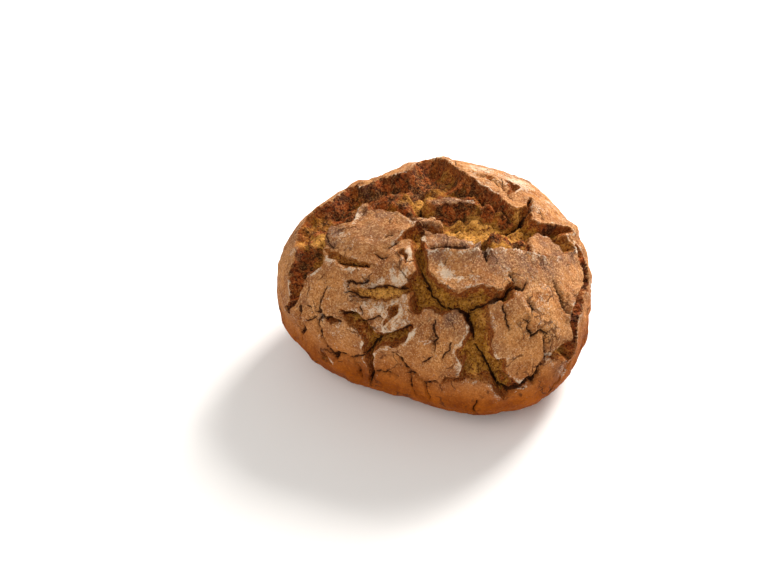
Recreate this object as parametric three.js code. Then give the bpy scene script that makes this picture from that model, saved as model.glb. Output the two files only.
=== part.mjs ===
// A round, hearth-baked cornbread loaf: one solid of bread with a domed, torn crust and a flat underside.
// Millimetres, +Z up. The origin is on the surface that the loaf rests on, under the middle of its outline,
// and -Y is the side where the crust is split down to the foot.
import * as THREE from "three";
import { mergeVertices } from "three/addons/utils/BufferGeometryUtils.js";

// ---------------------------------------------------------------- driving dimensions
const WAIST_RADIUS_X = 70; // half the width at the widest level, before the outline's unevenness
const WAIST_RADIUS_Y = 65.8; // the same from front to back
const LOAF_HEIGHT = 77; // from the resting surface to the crown
const WAIST_HEIGHT = 32.3; // the level of the widest part
const SETTLE = 2.3; // how far the soft underside flattened under the loaf's weight
const CROWN_LEAN = [-7.3, 2.1]; // how far the crown sits off the foot, in X and Y
const FOOT_SHIFT = -4.6; // how far the foot slid forward under the waist, in Y
const TEAR_DEPTH = 6; // from the crust to the floor of a wide tear
const TEAR_WALL = 8; // how far a wide tear's wall slopes in before it meets the floor
const SWELLING = 1.1; // how far the crust bulges between its tears
const SWELL_LENGTHS = [13, 16, 9]; // a bulge's length over 2 pi: to the right, to the back, slantwise

const DOME_POWER = 2.3; // 2 is an ellipse; more is squarer in the shoulder
const FOOT_POWER = 2.8; // the same for the roll of the crust under the waist
const MESH_DETAIL = 19; // subdivisions of the icosahedron that the loaf is shaped from
const MERIDIAN_STEPS = 200; // points on each quarter of the loaf's side profile
const SAME_POINT = 1e-5; // vertices nearer than this on the unit icosahedron are one

// The outline's unevenness as [waves round the loaf, cosine share, sine share] of the radius.
const OUTLINE_WAVES = [
  [1, -0.09, 0],
  [2, 0, -0.03],
  [3, -0.046, -0.016],
  [4, 0.01, 0.031],
];

// Tears in the crust, each a line of [right, back, width] in millimetres, where right and back are measured
// along the crust from the crown, as on a map of the loaf flattened out.
const TEARS = {
  crown_left: [[-82, -33, 5], [-64, -28, 11], [-54, -17, 15], [-48, -4, 18], [-33, 6, 20], [-16, 6, 30]],
  crown_middle: [[-16, 6, 30], [0, 7, 44], [14, -4, 40], [28, -11, 34], [42, -14, 26]],
  crown_right: [[42, -14, 26], [52, -14, 17], [66, -4, 9]],
  middle: [[-20, -27, 7], [-11, -22, 10], [-10, -42, 9], [-8, -53, 13], [6, -57, 13]],
  middle_right: [[6, -57, 13], [18, -54, 9], [29, -50, 6]],
  front: [[6, -58, 12], [13, -67, 11], [14, -78, 12], [22, -88, 15], [34, -91, 9]],
  left_pocket: [[-40, -50, 6], [-26, -54, 9], [-14, -57, 9]],
  left: [[-53, -54, 5], [-44, -62, 8], [-36, -71, 10], [-46, -81, 8], [-62, -88, 5]],
  left_branch: [[-36, -72, 9], [-26, -74, 8], [-15, -71, 5]],
  right_shoulder: [[74, -22, 6], [70, -42, 8], [65, -57, 9], [60, -69, 9], [47, -74, 7], [42, -85, 5]],
  back: [[-4, 34, 9], [-14, 52, 7], [-9, 70, 9], [-20, 86, 10], [-32, 96, 6]],
  back_right: [[30, 36, 6], [41, 54, 8], [36, 71, 9], [46, 88, 7], [42, 100, 5]],
  back_left: [[-14, 52, 7], [-34, 58, 9], [-56, 50, 7], [-72, 56, 5]],
};

// ---------------------------------------------------------------- the loaf's form
// The meridian from the crown, over the waist and the foot, to the middle of the underside:
// two superellipse quarters that meet at the waist, cut off level where the loaf settled.
function meridian() {
  const rows = [];
  const domeHeight = LOAF_HEIGHT - WAIST_HEIGHT;
  const footHeight = WAIST_HEIGHT + SETTLE;
  for (let i = 0; i <= MERIDIAN_STEPS; i++) {
    const turn = (Math.PI / 2) * (i / MERIDIAN_STEPS);
    const height = WAIST_HEIGHT + domeHeight * Math.cos(turn) ** (2 / DOME_POWER);
    rows.push([Math.sin(turn) ** (2 / DOME_POWER), height]);
  }
  for (let i = 1; i <= MERIDIAN_STEPS; i++) {
    const turn = (Math.PI / 2) * (i / MERIDIAN_STEPS);
    const share = Math.cos(turn) ** (2 / FOOT_POWER);
    const height = WAIST_HEIGHT - footHeight * Math.sin(turn) ** (2 / FOOT_POWER);
    if (height <= 0) {
      const [lastShare, lastHeight] = rows[rows.length - 1];
      const cut = lastHeight / (lastHeight - height);
      rows.push([lastShare + cut * (share - lastShare), 0], [0, 0]);
      break;
    }
    rows.push([share, height]);
  }
  // The way along the crust to each row, which a flattened-out map measures from the crown.
  let along = 0;
  return rows.map(([share, height], i) => {
    if (i) along += Math.hypot((share - rows[i - 1][0]) * WAIST_RADIUS_X, height - rows[i - 1][1]);
    return { along, share, height };
  });
}

const MERIDIAN = meridian();
const MAP_RADIUS = MERIDIAN[MERIDIAN.length - 1].along;

// The share of the waist radius and the height at a distance along the crust from the crown.
function onMeridian(distance) {
  const after = Math.max(1, MERIDIAN.findIndex((row) => row.along >= distance));
  const [low, high] = [MERIDIAN[after - 1], MERIDIAN[after]];
  const t = (distance - low.along) / (high.along - low.along || 1);
  const { lerp } = THREE.MathUtils;
  return { share: lerp(low.share, high.share, t), height: lerp(low.height, high.height, t) };
}

// The loaf's plain surface over a map point: the meridian turned round the uneven outline, with the crown
// leaning over and the foot slid forward.
function plainSurface(right, back, target) {
  const turn = Math.atan2(back, right);
  const { share, height } = onMeridian(Math.min(Math.hypot(right, back), MAP_RADIUS));
  let outline = 1;
  for (const [waves, cosine, sine] of OUTLINE_WAVES) {
    outline += cosine * Math.cos(waves * turn) + sine * Math.sin(waves * turn);
  }
  const raised = height / LOAF_HEIGHT;
  const underWaist = THREE.MathUtils.clamp(1 - height / WAIST_HEIGHT, 0, 1);
  return target.set(
    WAIST_RADIUS_X * share * outline * Math.cos(turn) + CROWN_LEAN[0] * raised,
    WAIST_RADIUS_Y * share * outline * Math.sin(turn) + CROWN_LEAN[1] * raised + FOOT_SHIFT * underWaist,
    height,
  );
}

// ---------------------------------------------------------------- the crust's relief
// How far a map point lies inside a stretch of a tear: half the width there, less the way to its middle line.
function insideStretch(right, back, [x0, y0, w0], [x1, y1, w1]) {
  const [dx, dy] = [x1 - x0, y1 - y0];
  const t = THREE.MathUtils.clamp(((right - x0) * dx + (back - y0) * dy) / (dx * dx + dy * dy), 0, 1);
  const width = w0 + t * (w1 - w0);
  return { inside: width / 2 - Math.hypot(right - x0 - t * dx, back - y0 - t * dy), width };
}

// The depth under the plain surface: the deepest of the tears here. A tear too narrow for two full walls
// is as much shallower as its walls are shorter.
function tearDepth(right, back) {
  let deepest = 0;
  for (const line of Object.values(TEARS)) {
    for (let i = 1; i < line.length; i++) {
      const { inside, width } = insideStretch(right, back, line[i - 1], line[i]);
      const wall = Math.min(TEAR_WALL, width / 2);
      const depth = (TEAR_DEPTH * wall * THREE.MathUtils.smoothstep(inside, 0, wall)) / TEAR_WALL;
      deepest = Math.max(deepest, depth);
    }
  }
  return deepest;
}

// Broad low swellings of the crust.
function swelling(right, back) {
  const [across, deep, slant] = SWELL_LENGTHS;
  return SWELLING * (Math.sin(right / across) * Math.cos(back / deep) + Math.sin((right - back) / slant) / 2);
}

// ---------------------------------------------------------------- the solid
function loafGeometry() {
  let geometry = new THREE.IcosahedronGeometry(1, MESH_DETAIL);
  geometry.deleteAttribute("normal");
  geometry.deleteAttribute("uv");
  geometry = mergeVertices(geometry, SAME_POINT);

  const position = geometry.getAttribute("position");
  const point = new THREE.Vector3();
  const map = [];
  for (let i = 0; i < position.count; i++) {
    point.fromBufferAttribute(position, i).normalize();
    const distance = (Math.acos(THREE.MathUtils.clamp(point.z, -1, 1)) / Math.PI) * MAP_RADIUS;
    const turn = Math.atan2(point.y, point.x);
    map.push([distance * Math.cos(turn), distance * Math.sin(turn)]);
    plainSurface(...map[i], point);
    position.setXYZ(i, point.x, point.y, point.z);
  }

  // The relief goes in along the plain surface's normals. It fades out under the waist, so the foot is level.
  geometry.computeVertexNormals();
  const normal = geometry.getAttribute("normal");
  const outward = new THREE.Vector3();
  for (let i = 0; i < position.count; i++) {
    point.fromBufferAttribute(position, i);
    outward.fromBufferAttribute(normal, i);
    const fade = THREE.MathUtils.smoothstep(point.z, 0, WAIST_HEIGHT / 2);
    point.addScaledVector(outward, fade * (swelling(...map[i]) - tearDepth(...map[i])));
    position.setXYZ(i, point.x, point.y, point.z);
  }

  geometry.deleteAttribute("normal");
  geometry.computeBoundingBox();
  const middle = geometry.boundingBox.getCenter(new THREE.Vector3());
  geometry.translate(-middle.x, -middle.y, 0);
  geometry.computeVertexNormals();
  return geometry;
}

const bakedCrust = new THREE.MeshStandardMaterial({ color: 0xb07a48, roughness: 0.9, metalness: 0 });

const loaf = new THREE.Mesh(loafGeometry(), bakedCrust);
loaf.name = "loaf";

const cornbread = new THREE.Group();
cornbread.add(loaf);

export default cornbread;
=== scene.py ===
"""A round, hearth-baked cornbread loaf: torn, floury crust and open crumb, on a plain floor in soft light.

The loaf is one surface over a map of its crust. A map point (u, v) is in millimetres along the crust from
the crown, u to the right and v to the back, so the front of the loaf has negative v. Tears, flakes and cracks
are drawn on that map, and their relief is worked into the surface along its normals.
"""

import math

import bpy
import numpy as np
from mathutils import Matrix, Vector


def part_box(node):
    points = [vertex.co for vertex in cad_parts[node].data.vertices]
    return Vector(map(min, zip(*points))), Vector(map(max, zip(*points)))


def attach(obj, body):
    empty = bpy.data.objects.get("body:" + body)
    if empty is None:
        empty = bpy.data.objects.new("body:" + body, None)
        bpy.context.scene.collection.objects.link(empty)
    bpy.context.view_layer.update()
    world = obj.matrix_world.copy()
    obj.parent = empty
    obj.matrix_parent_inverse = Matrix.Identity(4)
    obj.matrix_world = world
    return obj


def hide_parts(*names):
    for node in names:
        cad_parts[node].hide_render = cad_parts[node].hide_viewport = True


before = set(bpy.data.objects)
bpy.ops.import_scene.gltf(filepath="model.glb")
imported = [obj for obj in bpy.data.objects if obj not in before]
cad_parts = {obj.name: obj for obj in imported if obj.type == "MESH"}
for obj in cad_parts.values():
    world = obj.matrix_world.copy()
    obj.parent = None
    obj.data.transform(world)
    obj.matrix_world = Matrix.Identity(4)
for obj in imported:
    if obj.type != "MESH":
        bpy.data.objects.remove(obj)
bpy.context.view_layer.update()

MM = 0.001

# ---------------------------------------------------------------- the loaf's form, in millimetres
WAIST_RADIUS = (70.0, 65.8)  # half the width and half the depth at the widest level
LOAF_HEIGHT = 77.0
WAIST_HEIGHT = 32.3
SETTLE = 2.3  # how far the underside flattened under the loaf's weight
CROWN_LEAN = (-7.3, 2.1)
FOOT_SHIFT = -4.6
DOME_POWER, FOOT_POWER = 2.3, 2.8
OUTLINE_WAVES = ((1, -0.09, 0), (2, 0, -0.03), (3, -0.046, -0.016), (4, 0.01, 0.031))
FOOT_FADE = 0.3  # of the waist's height, over which the relief comes in from the foot

EDGE_SHARE = 0.5  # of a tear's depth that the wall under the crust's edge takes
VALLEY = 4.0  # the way inside over which the rest of the depth comes, ever more slowly
DEEP = 8.5  # the depth past which the crumb is painted darker, as painted shade deep in a tear
EDGE_BLUR = 0.2  # how far outside a tear its crumb starts
CRUMB_FADE = 1.6  # the way over which crumb takes over from crust
LIP_REACH, LIP_FADE = 2.4, 0.9  # how far from a tear its edge starts to curl up, and the way it drops over
PIT_DEPTH, PIT_FADE = 6.0, 2.2  # the depth past which the oven toasted less, and the way it gets there
LOW_CRUST, LOW_FADE = 42.0, 30.0  # the level under which the crust has less flour, and how far it fades
DARK_SHARE = 0.31  # half of the share of a crack's width that is dark
GROOVE_SLOPE = 0.4  # how far a crack's groove spreads past its width
OUT_OF_REACH = 9.0  # the way to a crack that is too far off to matter

PROFILE_POINTS = 400  # on each quarter of the side profile
GRID = 296  # points along each side of the square grid that covers the top and the sides
GRID_RADIUS = 150.0  # where on the map the grid ends, just under the foot's rim
UNDERSIDE_RINGS = 7
EDGE_PULL, PULL_REACH = 0.5, 2.0  # how strongly, and from how far, mesh points are drawn to a tear's edge
LATTICE = 32  # random numbers along each side of the cube that lumps are blended from
LATTICE_START = 200.0  # the place of the loaf's foot on the lattice, so that every cell number is positive

# ---------------------------------------------------------------- tears, on the map of the crust
# Each tear is (depth, wall, outline): its wall slopes down over that width inside a closed outline.
TEARS = {
    "crown": (8.6, 2.8, (
        (-84, -30), (-79, -32), (-74, -34), (-70, -31), (-68.5, -27), (-65, -22), (-62.5, -20), (-62, -16),
        (-60.5, -11), (-61, -8), (-59.5, 0), (-57.5, 4), (-51, 9), (-48, 11), (-44.5, 17), (-40, 24.5),
        (-38, 20), (-35, 19), (-30, 24.5), (-25, 27), (-14, 27), (-14, 36), (-9, 46), (-3.5, 45),
        (0, 37), (4, 31), (8, 24.5), (11.7, 21.5), (16.5, 17), (19.5, 13.5), (22, 10), (26.5, 7.5),
        (29.5, 5), (31, 1.5), (34.5, -1), (37, -1), (40.5, 5), (43.5, 12.5), (45.5, 9.5), (42.5, 1),
        (43.5, -1.5), (44.5, -5.5), (49, -6.5), (55, -3), (57.5, -0.5), (65, 6), (68, 4), (64, -1),
        (63, -6),
        (68, -11), (62.5, -17.5), (57, -23.5), (52.5, -27.5), (46, -30.5), (40, -32), (33, -31.5),
        (26, -32), (20.5, -33.2), (10, -34.7), (4, -35.2), (-1, -35.6), (-5.5, -36), (-7.5, -33.5),
        (-7, -25), (-9, -19), (-13.5, -16), (-17, -10), (-20, -7), (-23, -6), (-28.8, -5.5), (-29.3, -1.5),
        (-31.5, 0), (-33.7, -6), (-35.3, -11), (-38.6, -11), (-44.5, -12), (-45.5, -15), (-46.5, -19),
        (-48, -23), (-49, -27.5), (-50, -30), (-54.5, -30), (-58.5, -30.5), (-60.5, -32), (-63.5, -34.5),
        (-67, -37), (-72, -38), (-78, -35.5))),
    "middle": (7.0, 2.0, (
        (-23, -31), (-18, -25), (-14, -20.5), (-9.5, -17.5), (-6.5, -20), (-7, -25), (-9, -28), (-7.5, -31),
        (-7, -37), (-7.5, -43), (-6.5, -47), (-2.7, -49.3), (-0.5, -51), (2.5, -53.7), (4.8, -55),
        (7.6, -53.3), (10.3, -51.3), (14, -50.7), (20, -51.3), (22, -51.8), (24.3, -49.5), (26, -47),
        (27.5, -48), (30.5, -48), (28, -50.8), (27, -54), (23.7, -56.5), (21.7, -54), (19.5, -55),
        (17, -57),
        (17.7, -63), (18.7, -68), (18.5, -71), (20, -76.5), (22.8, -79), (26, -78.5), (27, -81.5),
        (29.5, -86.5), (35, -90), (37.5, -87.5), (39, -88.5), (35, -92.5), (31, -94.5), (28, -98),
        (26, -97.5), (22.3, -93.5), (19, -90), (15.3, -90), (10, -91), (3, -92.5), (-1, -94), (-7, -96.5),
        (-3, -92), (3.5, -90), (5.3, -87), (5.5, -84), (2.5, -79), (7.7, -75), (8.7, -73), (9, -69.5),
        (8.5, -67), (7.3, -64), (5.7, -62), (3.2, -62), (-2, -64.5), (-5.5, -64), (-9, -63), (-11, -63),
        (-13, -66), (-16.5, -65.5), (-17.5, -61), (-15.5, -55.5), (-21.5, -58), (-27, -58.5), (-32, -57),
        (-36.5, -54), (-41, -50), (-45, -46.5), (-42, -46.5), (-36, -49), (-30, -49.5), (-26, -50.5),
        (-22, -52), (-18, -52), (-14.5, -48.5), (-13, -46), (-14, -42), (-14.7, -38), (-14, -34),
        (-14.5, -29.5), (-16, -28.5), (-19.5, -29.5))),
    "trough": (10.5, 2.4, (
        (-2, -6), (8, -6.5), (18, -7), (27, -8.5), (32, -10), (28, -14), (20, -16.5), (10, -17), (3, -15.5),
        (-3, -12))),
    "back_trough": (9.5, 3.0, (
        (-10, 16), (0, 18), (8, 15), (16, 11), (24, 6.5), (29, 2.5), (22, 4), (14, 6.5), (4, 8.5),
        (-6, 9.5))),
    "left_strip": (2.6, 1.0, (
        (-47, -22), (-44, -24.5), (-41.5, -29), (-38, -33.5), (-34, -37), (-30, -39.5), (-34, -40.5),
        (-38.5, -39),
        (-41.5, -36), (-43.5, -31), (-46.5, -28))),
    "flap_slot": (3.0, 1.0, ((-19.4, -35.5), (-17.4, -35.3), (-17, -38.5), (-16.8, -45), (-18.4, -41))),
    "right_edge": (4.5, 1.6, (
        (69, -3), (75, -5), (79, -12), (82, -20), (80, -28), (77, -30), (74.5, -22), (73, -14), (70, -9))),
    "rim_pit": (1.8, 1.0, ((29, 27), (33, 27), (37.5, 21), (35, 13), (31, 12), (33, 18))),
    "rim_notch": (1.6, 1.0, ((18, 26), (22, 27), (26, 23), (22, 21))),
    "flake_pocket": (5.0, 1.4, (
        (-27, -60.5), (-20.5, -60), (-21.5, -63), (-24, -65), (-26.5, -66), (-31, -67.8), (-30, -66),
        (-26, -64))),
    "left": (7.0, 1.6, (
        (-51.5, -52), (-47, -55.5), (-43.5, -58), (-42, -61.5), (-38.5, -65.5), (-36, -69.5), (-30, -70.8),
        (-20, -70.8), (-16, -70), (-15, -71.5), (-19, -74), (-21, -76), (-27, -78), (-33, -77),
        (-37, -76.3), (-42, -76.2), (-46, -78), (-49, -81), (-51, -86), (-58, -89.5), (-67, -91),
        (-60, -87.5), (-56, -85), (-55, -80), (-54, -76.5), (-50, -73.5), (-46.5, -71), (-45, -67.5),
        (-47, -64), (-50, -61.5), (-49.5, -58.5), (-50.5, -55))),
    "left_hole": (4.0, 1.2, (
        (-61.5, -50.5), (-58, -52.5), (-55.5, -55.5), (-53, -58), (-56, -57.5), (-59.5, -54.5))),
    "left_foot": (4.5, 1.6, ((-84, -62), (-78, -60), (-75, -63), (-78, -68))),
    "shoulder": (6.5, 1.6, (
        (52, -68), (55, -65.5), (60, -62), (59, -55), (59.5, -50.5), (62, -46), (68, -38), (73, -30),
        (76, -20), (80, -20), (76, -32), (72, -41), (68, -50), (68, -55), (67, -61), (70, -66), (69, -69.5),
        (64, -71.5), (57, -73), (49.5, -74), (46.5, -75), (49, -71))),
    "back": (8.0, 2.2, (
        (-4, 46), (0, 52), (-4, 60), (1, 66), (-2, 76), (-6, 84), (-16, 91), (-30, 98), (-22, 89),
        (-15, 84),
        (-14, 78), (-10, 70), (-14, 65), (-24, 67), (-36, 65), (-48, 60), (-60, 58), (-72, 62), (-60, 53),
        (-46, 53), (-34, 58), (-22, 59), (-12, 57), (-8, 52))),
    "back_right": (7.5, 2.0, (
        (33, 38), (41, 46), (47, 56), (44, 65), (46, 76), (54, 87), (45, 84), (37, 76), (34, 66), (38, 57),
        (34, 48))),
    "far_left": (6.0, 1.8, ((-70, 20), (-77, 30), (-80, 44), (-90, 55), (-84, 42), (-84, 30), (-76, 18))),
    "far_right": (6.0, 1.8, ((76, 26), (84, 30), (90, 42), (100, 50), (88, 49), (80, 40), (72, 34))),
}

# Flakes of crust that stayed down in a tear: (height, wall, torn share, outline).
FLAKES = {
    "terrace": (-3.8, 1.2, 0.0, (
        (-8.5, -20), (-3, -19), (1.5, -20), (5, -21.5), (10, -22.5), (15, -24), (14.8, -33),
        (10, -33.6), (4, -34.1), (-1, -34.6), (-5.5, -35), (-7, -30))),
    "ridge": (-2.6, 2.6, 1.0, (
        (-8.5, 6), (-3, 7.5), (3, 6.5), (10, 5), (16, 4.5), (21, 2.5), (27, 1), (33, -2), (34, -6.5),
        (28, -5), (21, -3.5), (14, -2.5), (8, -3), (2, -2), (-4, -2), (-8, 0))),
    "left_ledge": (-3.2, 2.6, 1.0, (
        (-31, 6), (-24, 9), (-16, 9), (-12, 6), (-12.5, 0), (-14, -4), (-18, -3), (-24, 0), (-30, 1))),
    "left_wall": (-3.0, 2.0, 1.0, (
        (-57, -7), (-52, -5), (-47.5, -9), (-47.5, -16), (-51, -19), (-56, -16))),
    "lens": (-1.1, 1.4, 1.0, (
        (-47, -45), (-41, -48), (-36, -49.5), (-30, -50.5), (-24, -52.5), (-19, -53.5), (-18.5, -56),
        (-24, -58), (-30, -58), (-36, -54.5), (-41, -51))),
    "strip": (-2.6, 1.4, 0.2, (
        (-15, -8), (-8, -9), (-3, -10.5), (0, -13), (0, -17), (-9, -15.5), (-13, -14))),
    "hump": (-1.6, 2.2, 1.0, (
        (17.5, -22.5), (24, -21.5), (31, -23), (37, -25.5), (40, -31), (30, -31), (20, -32))),
    "right_step": (-1.4, 2.6, 0.3, (
        (40, -18.5), (46, -14), (54, -11), (60, -12.5), (63, -17), (57, -23.5), (52, -27), (46, -30),
        (40, -30.5), (37, -24))),
    "front_step": (-3.0, 1.5, 1.0, (
        (6, -84), (12, -84), (16, -88), (13, -90.5), (6, -91.5), (0, -93), (4.5, -90))),
    "branch_floor": (-3.2, 1.5, 1.0, (
        (-3, -52), (2, -56), (8, -56), (16, -53), (20, -53), (15, -57), (9, -59), (0, -59), (-6, -56))),
    "ridge_crust": (-1.5, 1.6, 0.0, (
        (-6, 2.2), (0, 3.4), (8, 3), (16, 1.8), (15, -0.5), (8, -0.2), (0, -0.6), (-5, -0.6))),
}

# Cracks as (width, depth, line). Some of them are painted shadow lines under a flap or behind a plate's lip.
CRACKS = (
    (2.6, 5.0, ((27, -16.5), (31, -13), (36, -9), (41, -3.5), (43, 3), (44, 11.5))),
    (2.4, 4.0, ((3, -12.5), (6, -12), (8.5, -13))),
    (1.6, 4.0, ((-9.5, 7), (-9, -1), (-9.5, -8))),
    (2.8, 1.5, ((-7.5, -30.5), (-1, -29.6), (4, -29), (10, -28.6), (15, -28.6))),
    (2.4, 4.0, ((-51, -53), (-47.5, -57), (-44.5, -60), (-43.5, -64), (-40, -68), (-36.5, -71.5))),
    (2.0, 3.5, ((-37, -71.8), (-30, -71.6), (-24, -71.4), (-17, -70.6))),
    (2.4, 4.0, ((-38, -73), (-44.5, -75), (-50.5, -77), (-52.5, -81), (-54, -86), (-62, -89))),
    (2.2, 3.5, ((-62, -50), (-59, -53), (-55, -56), (-52, -57.5))),
    (2.2, 2.6, ((4, -12), (6.5, -12.8))),
    (1.9, 3.0, ((15.8, -23), (15.5, -31), (16, -34), (16.4, -39.5))),
    (3.2, 4.5, ((0, -60.5), (5, -61.5), (9, -64), (10, -70), (10.5, -73.5))),
    (1.8, 3.5, ((10, -60), (14, -58), (19.5, -55.5), (24, -52.5), (27, -49), (31, -48.5), (33, -45))),
    (2.0, 3.5, ((11, -77), (15, -80), (18, -85.5), (20, -87), (24, -93), (29, -95), (36, -92))),
    (2.2, 3.0, ((-11.5, -43), (-10.5, -47), (-8.5, -51), (-6.5, -55), (-4, -59.5), (0, -61))),
    (1.0, 2.0, ((25.5, -43), (26, -45.5), (27, -47.5))),
    (1.3, 2.4, ((23.5, -56), (23.5, -59), (24.7, -61.5), (25.5, -64.5), (25.2, -67))),
    (1.4, 2.4, ((31, -61), (33, -61), (34.5, -64), (36.5, -67), (39, -65), (42.5, -63.5), (46, -63.8))),
    (3.2, 4.0, ((43, -65), (44, -69.5), (46, -72.5), (46.5, -74), (44.5, -76.5), (44.5, -80), (43.5, -86),
                (39.5, -86.5), (36, -90.5))),
    (1.5, 2.6, ((48.5, -39), (50.5, -44), (53, -46.5), (55.5, -50), (58, -52))),
    (1.3, 2.4, ((-5, -66.5), (-6.5, -70.5), (-6.3, -72.5), (-5.2, -74.5), (-6.8, -76.5), (-6.2, -80))),
    (1.1, 1.8, ((-9, -81), (-12, -84.5), (-15, -87))),
    (2.0, 2.8, ((-32, -80), (-27.5, -86), (-24.5, -90.5), (-19, -94), (-17, -98), (-17, -105))),
    (1.3, 2.0, ((-19, -95), (-13, -96), (-9, -94.8))),
    (2.4, 3.0, ((-51, -40.5), (-56.8, -41.5), (-59.2, -43.5), (-60.6, -46.5), (-61.4, -51), (-65.6, -51.5),
                (-67.3, -54), (-69.6, -57), (-71.3, -60.5), (-72.2, -64), (-71, -67.7), (-66.9, -68.6),
                (-63.3, -71.4), (-60.5, -74.9), (-56, -76), (-50, -77.5))),
    (2.2, 2.6, ((-69, -39), (-72, -41), (-76.5, -44), (-78, -47.3), (-83, -45.5), (-86.5, -47))),
    (1.6, 2.2, ((-61, -76), (-63, -81), (-67, -84))),
    (1.4, 2.0, ((-66, -41), (-64, -44.5), (-65, -47))),
    (1.3, 1.8, ((-72, -46), (-68, -48.5), (-64.5, -49))),
    (1.3, 1.8, ((-26, -103), (-28, -98), (-24.5, -91))),
    (1.2, 1.8, ((2, -75), (-1, -80), (-4, -83))),
    (1.2, 1.8, ((33, -52), (36, -56), (35, -60))),
    (1.0, 1.6, ((-40, -55.5), (-41, -57.5), (-41.5, -60))),
    (1.2, 2.0, ((-40, -63.8), (-37, -63.2), (-31.8, -63.3), (-30, -64.8))),
    (1.2, 2.0, ((-50, -86), (-45, -88), (-38.5, -90), (-35, -92.5))),
    (1.3, 2.4, ((-29.8, -33), (-27.7, -36.3), (-25.5, -38.5))),
    (1.5, 2.4, ((-25.5, -34), (-23.5, -31.5), (-21, -30))),
    (1.0, 1.6, ((-25.2, -26), (-23.5, -24.7), (-22, -25))),
    (1.8, 3.0, ((-43, -31), (-39.5, -34.5), (-36, -37.5), (-33, -39))),
    (1.5, 2.6, ((-44, -44), (-42, -42.5), (-38, -45.5), (-34, -46.5))),
    (1.8, 3.0, ((-46, -46), (-43, -49), (-40.5, -51.5), (-36, -54))),
    (1.5, 2.4, ((-35, -49), (-30, -49.8), (-25, -51.2), (-20, -52.5), (-17, -52.5))),
    (1.0, 1.6, ((-45, -15), (-45.5, -19), (-44, -23))),
    (1.2, 2.0, ((27, 27), (29, 20), (31, 14), (34, 7))),
    (1.0, 1.8, ((22, 22), (26, 20), (28, 18))),
    (1.2, 2.2, ((2, 44), (5, 38), (8, 33))),
    (1.2, 2.0, ((66, -2), (71, -8), (73, -16), (76, -21))),
    (1.3, 2.0, ((70, -72), (66, -80), (62, -84), (58, -92))),
    (1.2, 2.0, ((12, 62), (20, 68), (24, 78), (20, 88), (24, 98))),
    (1.2, 2.0, ((24, 78), (32, 80), (37, 76))),
    (1.2, 2.0, ((-30, 36), (-34, 44), (-32, 52), (-36, 58))),
    (1.2, 2.0, ((-44, 66), (-48, 76), (-44, 86), (-50, 94))),
    (1.2, 2.0, ((60, 50), (66, 58), (64, 68), (72, 76))),
    (1.2, 2.0, ((86, -2), (92, 6), (90, 16), (98, 22))),
    (1.2, 2.0, ((88, -20), (94, -28), (90, -38), (94, -48), (88, -58))),
    (1.2, 2.0, ((-92, -14), (-88, -4), (-94, 4), (-90, 14), (-98, 22))),
    (1.2, 2.0, ((14, -100), (12, -106), (15, -112))),
)

# Where a plate of crust bulges: (u, v, reach, height).
BULGES = (
    (20, -42, 20, 1.8), (-19, -41, 6, 2.2), (-10, -80, 15, 1.6), (35, -72, 14, 1.2), (-30, -22, 13, 0.8),
    (-62, 34, 16, 0.6), (40, 40, 16, 0.8), (68, 9, 4, 1.8), (78, 0, 5, 1.8), (85, -12, 6, 1.2),
    (86, -28, 6, 0.8), (-27, 40, 13, -2.6), (0, 42, 7, 1.0), (-2, 47, 2.6, 1.6), (-22, 38, 3, 1.2),
    (-42, 34, 4, 1.2), (-20, -68.5, 3.2, 1.8), (-31, -70, 3, 1.2), (-29, -64, 2.6, 1.2),
    (-19, -47, 4, 1.4), (-58, -60, 12, 1.0), (10, -104, 14, 1.0), (-28, -64, 7, 0.8),
    (-46, -38, 7, 1.0), (-30, 80, 16, 1.5), (20, 80, 18, 1.5), (84, 10, 20, 1.2),
)

# Where one layer of crust lies over the next, as (height, reach, line): the left of the line is on top.
OVERLAPS = (
    (2.2, 5.0, ((-46, -43.5), (-42, -46), (-37, -48), (-31, -49), (-27, -50.5), (-22, -52.5), (-17, -52))),
    (2.0, 2.5, ((-45, -40.5), (-40, -43.5), (-35, -45.3), (-29, -45.8))),
    (1.6, 2.0, ((-27, -62), (-32, -64), (-37, -62), (-42, -59))),
    (1.8, 5.0, ((22, -33), (16, -33.3), (10, -34), (4, -34.5), (-1, -35), (-7, -36))),
    (2.0, 5.0, ((-41, -42), (-41.5, -38), (-43, -34), (-46, -30), (-51, -29.5))),
    (2.0, 5.0, ((-25, -31), (-26.5, -36), (-27, -41), (-28, -47))),
    (1.4, 2.5, ((-22.5, -51), (-22.5, -46), (-21, -40), (-22, -35))),
    (2.4, 2.4, ((-16.5, -57), (-21, -60), (-27, -60.8), (-33, -59), (-38, -55.5), (-42, -52),
        (-45.5, -48.5))),
    (1.8, 3.5, ((-19, -53), (-16, -56), (-19, -60), (-17, -66))),
    (1.6, 3.0, ((-40, -61.5), (-36, -61.3), (-31, -62), (-29, -65))),
    (1.8, 3.0, ((-24, -64.5), (-21, -66), (-17.5, -66.3), (-13, -68))),
    (1.4, 5.0, ((-54, -46), (-50, -41), (-52, -36), (-56, -33))),
    (1.2, 4.0, ((60, -38), (57, -44), (59, -52))),
    (1.4, 4.0, ((8, 32), (14, 27), (22, 23), (28, 17))),
    (2.0, 5.0, ((-10, -87), (-4, -89), (2, -88), (5, -84))),
    (1.4, 5.0, ((30, 62), (20, 66), (10, 64), (2, 68))),
    (1.4, 5.0, ((-40, 78), (-48, 84), (-58, 82), (-66, 88))),
    (1.6, 4.0, ((-45, 14), (-38, 21), (-30, 27), (-20, 30))),
    (1.6, 5.0, ((96, -30), (88, -24), (86, -12), (82, -4))),
)

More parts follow.
